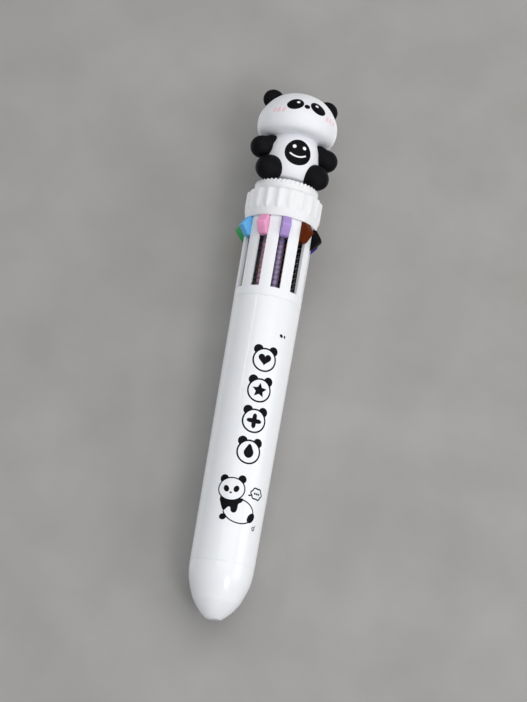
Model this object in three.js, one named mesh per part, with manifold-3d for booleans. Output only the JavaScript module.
// Ten-colour click pen with a seated panda figure on top.
// Millimetres, +Z up. Origin: middle of the writing opening's end face, once the pen is lifted
// by LIFT. +Z runs along the pen to the figure, and the figure faces -Y.

import * as THREE from 'three';
import { mergeVertices } from 'three/addons/utils/BufferGeometryUtils.js';
import Module from 'manifold-3d';

const wasm = await Module();
wasm.setup();

// ---------- driving dimensions ----------
// Z0 and Z1 are a piece's lower and upper heights, R an outer radius, BORE an inner radius.

const LIFT = 0.8;               // all heights count from this far above the end face
const PITCH_R = 6.0;            // circle that the ten refills stand on
const SLOT_COUNT = 10;
const FIRST_SLOT_DEG = -1.0;    // purple slot's turn from -Y, positive toward +X
const JOINT_GAP = 0.05;         // between the barrel and the parts it butts against
const CUT_OVERSHOOT = 1;        // cutters run this far past the faces they open

const NOSE_TOP = 12.7;
const NOSE_SPIGOT_TOP = 16.9;
const NOSE_SPIGOT_R = 7.5;
const BARREL_BOTTOM = NOSE_TOP + JOINT_GAP;
const BARREL_TOP = 80.87;
const BARREL_R0 = 8.1;          // at the nose
const BARREL_R1 = 8.77;         // at the cage
const CORE_R = 1.9;
const TUBE_Z0 = 16.3;

// ---------- materials ----------

const WHITE = { color: 0xe9ecf1, roughness: 0.22, metalness: 0 };
const SOFT_WHITE = { color: 0xe6e8ea, roughness: 0.45, metalness: 0 };
const VINYL_WHITE = { color: 0xe8e9ee, roughness: 0.6, metalness: 0 };
const VINYL_BLACK = { color: 0x16161a, roughness: 0.75, metalness: 0 };
const BRASS = { color: 0xb99a55, roughness: 0.3, metalness: 0.9 };
const SPRING_STEEL = { color: 0x4a4a4c, roughness: 0.35, metalness: 0.9 };
const sliderPlastic = (color) => ({ color, roughness: 0.35, metalness: 0 });
const refillPlastic = (color) => ({ color, roughness: 0.3, metalness: 0 });

// Slider colours in slot order, counterclockwise seen from +Z.
const COLOURS = [
  ['purple', 0xa98fd0], ['brown', 0x5a2410], ['black', 0x141414], ['dark_blue', 0x25208a],
  ['red', 0xc8202c], ['orange', 0xe9742a], ['yellow', 0xf0cf3a], ['green', 0x2f9a55],
  ['light_blue', 0x63b0e4], ['pink', 0xe9a0c8],
];

// ---------- solids and meshes ----------

// Welds a closed geometry into a Manifold solid, with its faces turned outward.
function toSolid(geometry) {
  geometry.deleteAttribute('normal');
  geometry.deleteAttribute('uv');
  const welded = mergeVertices(geometry, 1e-4);
  const position = welded.getAttribute('position');
  const corner = (i) => new THREE.Vector3().fromBufferAttribute(position, i);
  const index = welded.index.array;
  const triangles = [];
  let signedVolume = 0;
  for (let i = 0; i < index.length; i += 3) {
    const [a, b, c] = index.slice(i, i + 3);
    // Welding collapses some triangles, such as those at a lathe's axis.
    if (a === b || b === c || c === a) continue;
    triangles.push([a, b, c]);
    signedVolume += corner(a).dot(corner(b).cross(corner(c)));
  }
  const outward = signedVolume < 0 ? triangles.map(([a, b, c]) => [a, c, b]) : triangles;
  return new wasm.Manifold(new wasm.Mesh({
    numProp: 3,
    vertProperties: new Float32Array(position.array),
    triVerts: new Uint32Array(outward.flat()),
  }));
}

function toGeometry(solid) {
  const mesh = solid.getMesh();
  const positions = new Float32Array(mesh.vertProperties);
  const geometry = new THREE.BufferGeometry();
  geometry.setAttribute('position', new THREE.BufferAttribute(positions, 3));
  geometry.setIndex(new THREE.BufferAttribute(new Uint32Array(mesh.triVerts), 1));
  geometry.computeVertexNormals();
  return geometry;
}

function add(parent, name, solid, look) {
  const mesh = new THREE.Mesh(toGeometry(solid), new THREE.MeshStandardMaterial(look));
  mesh.name = name;
  parent.add(mesh);
}

// ---------- shapes ----------

// A profile of [radius, z] pairs turned about the Z-parallel axis at the given x.
function turned(profile, segments, x = 0) {
  const points = profile.map(([radius, z]) => new THREE.Vector2(radius, z));
  const geometry = new THREE.LatheGeometry(points, segments);
  geometry.rotateX(Math.PI / 2);
  geometry.translate(x, 0, 0);
  return toSolid(geometry);
}

// The same for a hollow piece: the profile is closed back to its first point.
const turnedRing = (profile, segments, x = 0) => turned([...profile, profile[0]], segments, x);

function rodGeometry(radius, z0, z1, segments, x = 0) {
  const geometry = new THREE.CylinderGeometry(radius, radius, z1 - z0, segments);
  geometry.rotateX(Math.PI / 2);
  geometry.translate(x, 0, (z0 + z1) / 2);
  return geometry;
}

const rod = (...size) => toSolid(rodGeometry(...size));

// An outline of coordinate pairs extruded along +Z from z = 0.
function extruded(outline, depth) {
  const shape = new THREE.Shape(outline.map(([x, y]) => new THREE.Vector2(x, y)));
  return new THREE.ExtrudeGeometry(shape, { depth, bevelEnabled: false });
}

// A profile of [x, z] pairs given a thickness along Y, centred on y = 0.
function slab(profile, width) {
  const geometry = extruded(profile, width);
  geometry.rotateX(Math.PI / 2);
  geometry.translate(0, width / 2, 0);
  return toSolid(geometry);
}

// Points at even angles around Z, with the radius given for each step.
function polarOutline(count, radiusAt) {
  return Array.from({ length: count }, (_, i) => {
    const angle = i * Math.PI * 2 / count;
    return [radiusAt(i) * Math.cos(angle), radiusAt(i) * Math.sin(angle)];
  });
}

// side is 1 for +X and -1 for -X; the poles lie along Z.
function ellipsoid(spec, side) {
  const geometry = new THREE.SphereGeometry(1, spec.around, spec.tall);
  geometry.rotateX(Math.PI / 2);
  geometry.scale(spec.rx, spec.ry, spec.rz);
  geometry.translate(side * spec.x, spec.y, spec.z);
  return toSolid(geometry);
}

const slotAngle = (k) => THREE.MathUtils.degToRad(FIRST_SLOT_DEG + k * 360 / SLOT_COUNT - 90);

// Subtracts a cutter, made lying toward +X, at every slot.
function cutAtSlots(solid, makeCutter) {
  let result = solid;
  for (let k = 0; k < SLOT_COUNT; k++) {
    const cutter = makeCutter();
    cutter.rotateZ(slotAngle(k));
    result = result.subtract(toSolid(cutter));
  }
  return result;
}

// ---------- nose cone ----------

const NOZZLE_R = 1.5;           // writing opening
const NOSE_END_R = 1.95;        // flat end around it

function noseCone() {
  // [radius, z]: up the outside, over the spigot, down the inside
  return turnedRing([
    [NOZZLE_R, -LIFT], [NOSE_END_R, -LIFT], [2.35, -0.5], [2.98, 0.0], [3.74, 0.75],
    [4.4, 1.5], [4.98, 2.25], [5.5, 3.0], [5.93, 3.7], [6.6, 5.25], [7.13, 6.7],
    [7.6, 8.2], [7.91, 9.8], [8.06, 11.3], [BARREL_R0, NOSE_TOP],
    [NOSE_SPIGOT_R, NOSE_TOP], [NOSE_SPIGOT_R, NOSE_SPIGOT_TOP], [7.12, NOSE_SPIGOT_TOP],
    [7.12, 12.0], [6.8, 9.6], [5.85, 6.0], [4.65, 4.0], [2.2, 0.6], [NOZZLE_R, -0.1],
  ], 48);
}

// ---------- barrel ----------

const BARREL_BORE = 7.25;
const NOSE_SOCKET_R = NOSE_SPIGOT_R + 0.1;
const NOSE_SOCKET_TOP = NOSE_SPIGOT_TOP + 0.4;
const CAGE_SOCKET_R = 8.06;
const CAGE_SOCKET_BOTTOM = 72.4;

function barrel() {
  return turnedRing([
    [NOSE_SOCKET_R, BARREL_BOTTOM], [BARREL_R0, BARREL_BOTTOM],
    [BARREL_R0 + 0.02, BARREL_BOTTOM + 0.3], [BARREL_R1, BARREL_TOP],
    [CAGE_SOCKET_R, BARREL_TOP], [CAGE_SOCKET_R, CAGE_SOCKET_BOTTOM],
    [BARREL_BORE, CAGE_SOCKET_BOTTOM], [BARREL_BORE, NOSE_SOCKET_TOP],
    [NOSE_SOCKET_R, NOSE_SOCKET_TOP],
  ], 48);
}

// ---------- slotted cage ----------

const CAGE_BOTTOM = 73.0;
const CAGE_STEP = BARREL_TOP + JOINT_GAP;
const CAGE_TOP = 108.8;
const CAGE_R = 8.86;
const CAGE_WALL_R = 7.88;       // inside, along the slots
const CAGE_BORE = 7.55;         // inside, below the slots
const CAGE_SPIGOT_R = 7.95;
const SLOT_BOTTOM = 83.3;
const SLOT_W = 2.5;
const SLOT_CUT_R0 = 7.25;       // radial reach of the slot cutter
const SLOT_CUT_R1 = 9.8;

function slotCutter() {
  const top = CAGE_TOP + CUT_OVERSHOOT;
  const cutter = new THREE.BoxGeometry(SLOT_CUT_R1 - SLOT_CUT_R0, SLOT_W, top - SLOT_BOTTOM);
  cutter.translate((SLOT_CUT_R0 + SLOT_CUT_R1) / 2, 0, (SLOT_BOTTOM + top) / 2);
  return cutter;
}

function sliderCage() {
  const wall = turnedRing([
    [CAGE_BORE, CAGE_BOTTOM], [CAGE_SPIGOT_R, CAGE_BOTTOM], [CAGE_SPIGOT_R, CAGE_STEP],
    [BARREL_R1, CAGE_STEP], [8.8, 86.0], [CAGE_R, 96.0], [CAGE_R, CAGE_TOP],
    [CAGE_WALL_R, CAGE_TOP], [CAGE_WALL_R, SLOT_BOTTOM], [CAGE_BORE, SLOT_BOTTOM - 0.75],
  ], 48);
  return cutAtSlots(wall, slotCutter);
}

// ---------- guide disc: sits just under the springs, refills pass through it ----------

const DISC_Z0 = 73.2;
const DISC_Z1 = 74.6;
const DISC_R = 7.43;
const DISC_BORE = CORE_R + 0.15;
const DISC_HOLE_R = 1.17;

function guideDisc() {
  const plate = turnedRing([
    [DISC_BORE, DISC_Z0], [DISC_R, DISC_Z0], [DISC_R, DISC_Z1], [DISC_BORE, DISC_Z1],
  ], 30);
  return cutAtSlots(plate, () => rodGeometry(
    DISC_HOLE_R, DISC_Z0 - CUT_OVERSHOOT, DISC_Z1 + CUT_OVERSHOOT, 8, PITCH_R));
}

// ---------- release core: post that the sliders' inner fins run around ----------

function releaseCore() {
  return turned([
    [0, 72.4], [1.5, 72.4], [CORE_R, 72.9], [CORE_R, 104.6], [3.3, 104.6], [3.3, 105.7],
    [1.6, 105.7], [1.6, 108.9], [0, 108.9],
  ], 20);
}

// ---------- slider: outer tab, block, inner fin and the pin into the refill ----------

const TAB_W = 2.3;              // the block is as wide
const TAB_ROOT_R = 7.5;
const TAB_PEAK_R = 11.3;
const TAB_Z0 = 97.1;
const TAB_Z1 = 102.15;
const BLOCK_R0 = 4.2;
const BLOCK_R1 = 7.68;
const BLOCK_Z0 = 98.2;
const BLOCK_Z1 = 104.4;
const FIN_R0 = 2.3;
const FIN_R1 = 4.4;
const FIN_W = 0.9;
const PIN_R = 0.72;
const PIN_Z0 = 92.7;
const PIN_OVERLAP = 0.3;        // into the block

function slider() {
  const tab = slab([
    [TAB_ROOT_R, TAB_Z0], [9.2, TAB_Z0], [9.5, TAB_Z0 + 0.15], [TAB_PEAK_R, 99.5],
    [TAB_PEAK_R, 99.9], [9.75, TAB_Z1], [TAB_ROOT_R, TAB_Z1],
  ], TAB_W);
  const block = slab([
    [BLOCK_R0, BLOCK_Z0], [BLOCK_R1, BLOCK_Z0], [BLOCK_R1, BLOCK_Z1], [5.6, BLOCK_Z1],
    [BLOCK_R0, 102.5],
  ], TAB_W);
  const fin = slab([[FIN_R0, 99.1], [FIN_R1, 97.3], [FIN_R1, 102.3], [FIN_R0, 101.3]], FIN_W);
  const pin = rod(PIN_R, PIN_Z0, BLOCK_Z0 + PIN_OVERLAP, 10, PITCH_R);
  return tab.add(block).add(fin).add(pin);
}

// ---------- refill tube and tip ----------

const TUBE_R = 1.0;
const TUBE_BORE = 0.78;
const TUBE_Z1 = 97.85;
const TIP_Z = 8.6;
const TIP_SHOULDER_Z = TUBE_Z0 - 0.1;
const TIP_PLUG_R = 0.68;        // the plug stands inside the tube
const TIP_PLUG_TOP = TUBE_Z0 + 2.6;

function refillTube() {
  return turnedRing([
    [TUBE_BORE, TUBE_Z0], [TUBE_R, TUBE_Z0], [TUBE_R, TUBE_Z1], [TUBE_BORE, TUBE_Z1],
  ], 10, PITCH_R);
}

function refillTip() {
  return turned([
    [0, TIP_Z], [0.28, TIP_Z + 0.1], [0.36, TIP_Z + 0.4], [0.6, TIP_Z + 2.4],
    [0.95, TIP_Z + 4.0], [TUBE_R, TIP_Z + 4.6], [TUBE_R, TIP_SHOULDER_Z],
    [TIP_PLUG_R, TIP_SHOULDER_Z], [TIP_PLUG_R, TIP_PLUG_TOP], [0, TIP_PLUG_TOP],
  ], 8, PITCH_R);
}

// ---------- spring: a helix around the refill, with a three-cornered wire ----------

const SPRING_R = 1.28;          // to the wire's middle
const WIRE_R = 0.15;
const SPRING_Z0 = DISC_Z1 + 0.2;
const SPRING_Z1 = 98.0;
const SPRING_TURNS = 11;
const STEPS_PER_TURN = 8;
const WIRE_SIDES = 3;

function spring() {
  const steps = SPRING_TURNS * STEPS_PER_TURN;
  const rise = SPRING_Z1 - SPRING_Z0 - 2 * WIRE_R;
  const positions = [];
  const index = [];
  for (let i = 0; i <= steps; i++) {
    const turn = i / steps * SPRING_TURNS * Math.PI * 2;
    const middleZ = SPRING_Z0 + WIRE_R + rise * i / steps;
    for (let j = 0; j < WIRE_SIDES; j++) {
      const around = Math.PI / 3 + j * Math.PI * 2 / WIRE_SIDES;
      const radius = SPRING_R + WIRE_R * Math.cos(around);
      positions.push(
        PITCH_R + radius * Math.cos(turn),
        radius * Math.sin(turn),
        middleZ + WIRE_R * Math.sin(around),
      );
    }
  }
  for (let i = 0; i < steps; i++) {
    for (let j = 0; j < WIRE_SIDES; j++) {
      const here = i * WIRE_SIDES + j;
      const beside = i * WIRE_SIDES + (j + 1) % WIRE_SIDES;
      const ahead = here + WIRE_SIDES;
      const aheadBeside = beside + WIRE_SIDES;
      index.push(here, beside, aheadBeside, here, aheadBeside, ahead);
    }
  }
  const last = steps * WIRE_SIDES;
  index.push(0, 2, 1, last, last + 1, last + 2);
  const geometry = new THREE.BufferGeometry();
  geometry.setAttribute('position', new THREE.BufferAttribute(new Float32Array(positions), 3));
  geometry.setIndex(index);
  return toSolid(geometry);
}

// ---------- collar: fluted cap ring over the cage's top ----------

const COLLAR_Z0 = 102.25;
const COLLAR_Z1 = 110.1;
const COLLAR_R = 10.12;         // over the flutes' crests
const COLLAR_BODY_R = 9.65;
const COLLAR_BORE = 9.0;
const COLLAR_ROOF_Z = 109.0;    // underside of its top
const COLLAR_MOUTH_R = 6.95;    // hole through its top
const FLUTES = 20;
const FLUTE_DEPTH = 0.42;
const FLUTE_STEPS = 4;
const FLUTE_Z0 = 104.4;
const FLUTE_LENGTH = 5.1;

function collar() {
  const outline = polarOutline(FLUTES * FLUTE_STEPS, (i) => (
    COLLAR_R - FLUTE_DEPTH * Math.sin(Math.PI * (i % FLUTE_STEPS) / FLUTE_STEPS)));
  const fluted = extruded(outline, FLUTE_LENGTH);
  fluted.translate(0, 0, FLUTE_Z0);
  fluted.rotateZ(slotAngle(0));
  const body = turned([
    [0, COLLAR_Z0], [9.45, COLLAR_Z0], [COLLAR_BODY_R, 104.6],
    [COLLAR_BODY_R, COLLAR_Z1 - 0.55], [9.1, COLLAR_Z1], [0, COLLAR_Z1],
  ], 40);
  return toSolid(fluted)
    .add(body)
    .subtract(rod(COLLAR_BORE, COLLAR_Z0 - CUT_OVERSHOOT, COLLAR_ROOF_Z, 40))
    .subtract(rod(COLLAR_MOUTH_R, 108, 112, 36));
}

// ---------- crown ring: plug, toothed rim and the peg the figure is pushed on ----------

const CROWN_R = 8.35;
const CROWN_Z0 = 110.25;
const CROWN_Z1 = 112.5;
const CROWN_TEETH = 44;
const TOOTH_CREST_R = CROWN_R + 0.05;
const TOOTH_ROOT_R = CROWN_R - 0.32;
const TOOTH_HEIGHT = 0.95;
const PLUG_R = 6.8;
const PLUG_BORE = 1.78;
const PLUG_Z0 = 105.9;
const RECESS_R = 7.35;
const RECESS_Z0 = 111.8;
const PEG_BASE_R = 4.9;
const PEG_R = 2.6;

function crownRing() {
  const outline = polarOutline(CROWN_TEETH * 2, (i) => (i % 2 ? TOOTH_ROOT_R : TOOTH_CREST_R));
  const teeth = extruded(outline, TOOTH_HEIGHT);
  teeth.translate(0, 0, CROWN_Z1 - TOOTH_HEIGHT);
  const plug = turned([
    [0, 109.2], [PLUG_BORE, 109.2], [PLUG_BORE, PLUG_Z0], [PLUG_R, PLUG_Z0],
    [PLUG_R, CROWN_Z0], [CROWN_R, CROWN_Z0], [CROWN_R, CROWN_Z1 - 0.8],
    [7.9, CROWN_Z1 - 0.6], [0, CROWN_Z1 - 0.6],
  ], 36);
  const peg = turned([
    [0, 111.2], [PEG_BASE_R, 111.2], [PEG_BASE_R, 113.65], [PEG_R, 113.65],
    [PEG_R, 117.9], [2.3, 118.2], [0, 118.2],
  ], 24);
  return plug.add(toSolid(teeth)).subtract(rod(RECESS_R, RECESS_Z0, 114, 30)).add(peg);
}

// ---------- figure ----------

const BODY_GAP = 0.25;          // cut between the black parts and the head or torso
const HEAD_SEGMENTS = 28;
const TORSO_SEGMENTS = 24;
const TORSO_Z0 = 113.8;
const TORSO_Z1 = 126.0;
const TORSO_FOOT_R = 5.4;
const TORSO_TOP_R = 6.2;
const TORSO_BORE = 2.8;         // takes the crown ring's peg
const TORSO_BORE_TOP = 118.7;

// [radius, z], bottom to top
const HEAD_PROFILE = [
  [0, 126.2], [6.4, 126.2], [8.2, 126.35], [9.5, 127.0], [10.28, 128.3], [10.6, 130.1],
  [10.38, 131.9], [9.5, 133.8], [8.15, 135.7], [6.25, 137.3], [3.4, 138.6], [0, 139.1],
];
const TORSO_SIDE = [[7.3, 117.1], [7.4, 119.8], [7.25, 121.9], [6.93, 123.7], [6.45, 125.3]];

// Centre, radii along the axes, and segments around and from pole to pole; x is mirrored.
const EAR = { x: 7.35, y: 0.8, z: 136.9, rx: 2.9, ry: 1.8, rz: 2.85, around: 12, tall: 8 };
const ARM = { x: 8.7, y: -2.0, z: 122.1, rx: 3.15, ry: 3.0, rz: 3.0, around: 16, tall: 10 };
const SHOULDER = { x: 6.3, y: -2.4, z: 124.5, rx: 1.9, ry: 1.8, rz: 1.5, around: 12, tall: 8 };
const LEG = { x: 6.0, y: -4.0, z: 116.15, rx: 3.9, ry: 3.5, rz: 3.5, around: 14, tall: 9 };

const head = () => turned(HEAD_PROFILE, HEAD_SEGMENTS);

function torso() {
  return turnedRing([
    [TORSO_BORE, TORSO_Z0], [TORSO_FOOT_R, TORSO_Z0], [6.3, 114.2], [6.9, 115.2],
    ...TORSO_SIDE, [TORSO_TOP_R, TORSO_Z1],
    [0, TORSO_Z1], [0, TORSO_BORE_TOP], [TORSO_BORE, TORSO_BORE_TOP],
  ], TORSO_SEGMENTS);
}

// The head widened all round, with only its two points on the axis moved out in height.
function headCutter() {
  const [bottom, ...rest] = HEAD_PROFILE;
  const top = rest.pop();
  return turned([
    [0, bottom[1] - BODY_GAP],
    ...rest.map(([radius, z]) => [radius + BODY_GAP, z]),
    [0, top[1] + BODY_GAP],
  ], HEAD_SEGMENTS);
}

function torsoCutter() {
  const bottom = TORSO_Z0 - 0.3;
  const top = TORSO_Z1 + 0.2;
  return turned([
    [0, bottom], [TORSO_FOOT_R + BODY_GAP, bottom], [6.5, 114.05], [7.15, 115.1],
    ...TORSO_SIDE.map(([radius, z]) => [radius + BODY_GAP, z]),
    [TORSO_TOP_R + BODY_GAP, top], [0, top],
  ], TORSO_SEGMENTS);
}

function addFigure(parent) {
  add(parent, 'topper_head', head(), VINYL_WHITE);
  add(parent, 'topper_torso', torso(), VINYL_WHITE);
  const headCut = headCutter();
  const torsoCut = torsoCutter();
  // left and right are the figure's own
  for (const [name, side] of [['left', 1], ['right', -1]]) {
    const ear = ellipsoid(EAR, side).subtract(headCut);
    const arm = ellipsoid(ARM, side).add(ellipsoid(SHOULDER, side))
      .subtract(torsoCut).subtract(headCut);
    const leg = ellipsoid(LEG, side).subtract(torsoCut);
    add(parent, `topper_ear_${name}`, ear, VINYL_BLACK);
    add(parent, `topper_arm_${name}`, arm, VINYL_BLACK);
    add(parent, `topper_leg_${name}`, leg, VINYL_BLACK);
  }
}

// ---------- assembly ----------

// One slider, refill, tip and spring per colour, each set turned to its slot.
function addStations(parent) {
  const [sliderSolid, tube, tip, coil] = [slider(), refillTube(), refillTip(), spring()];
  COLOURS.forEach(([name, color], k) => {
    const station = new THREE.Group();
    station.rotation.z = slotAngle(k);
    parent.add(station);
    add(station, `slider_${name}`, sliderSolid, sliderPlastic(color));
    add(station, `refill_${name}`, tube, refillPlastic(color));
    add(station, `tip_${name}`, tip, BRASS);
    add(station, `spring_${name}`, coil, SPRING_STEEL);
  });
}

const pen = new THREE.Group();
add(pen, 'nose_cone', noseCone(), WHITE);
add(pen, 'barrel', barrel(), WHITE);
add(pen, 'slider_cage', sliderCage(), WHITE);
add(pen, 'guide_disc', guideDisc(), SOFT_WHITE);
add(pen, 'release_core', releaseCore(), SOFT_WHITE);
addStations(pen);
add(pen, 'collar', collar(), SOFT_WHITE);
add(pen, 'crown_ring', crownRing(), SOFT_WHITE);
addFigure(pen);
pen.position.z = LIFT;

export default pen;
